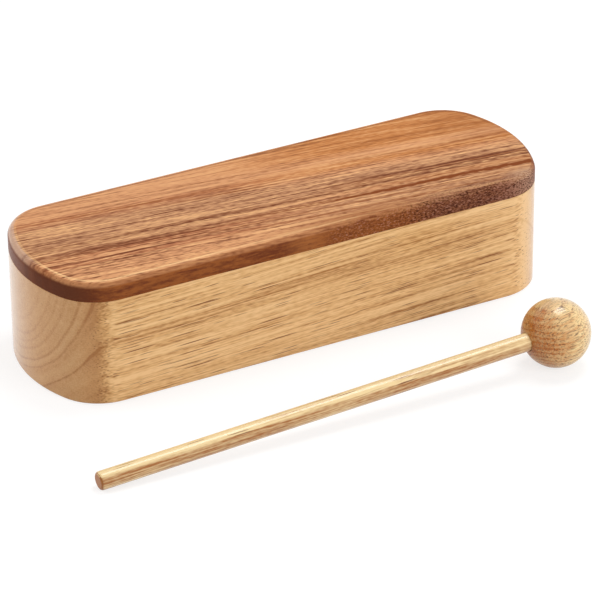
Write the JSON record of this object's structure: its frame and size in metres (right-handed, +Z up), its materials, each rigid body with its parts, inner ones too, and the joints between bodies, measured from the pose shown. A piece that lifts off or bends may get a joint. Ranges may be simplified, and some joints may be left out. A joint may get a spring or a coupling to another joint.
{
  "type": "woodblock",
  "caption": "Hollow wooden percussion block with bowed ends, a hardwood sound plate glued on its top, a long sound slot in its back wall and a separate ball-headed mallet that strikes it.",
  "frame": {"origin": "middle of the block's flat underside", "axes": "+X along the block, +Y from the player's side to the side with the sound slot, +Z up"},
  "size_m": [0.254, 0.1553, 0.057],
  "materials": {
    "body_wood": "pale straight-grained hardwood under satin lacquer",
    "plate_wood": "streaked red-brown hardwood under satin lacquer",
    "stick_wood": "pale dowel under gloss lacquer",
    "head_wood": "turned golden-brown ball under gloss lacquer"
  },
  "bodies": {
    "block": {"body_block": "body_wood", "sound_plate": "plate_wood"},
    "mallet": {"mallet_stick": "stick_wood", "mallet_head": "head_wood"}
  },
  "joints": [
    {"name": "mallet_lift", "type": "slide", "parent": "block", "child": "mallet", "axis": [0, 0, 1], "range_m": [0, 0.15]}
  ]
}
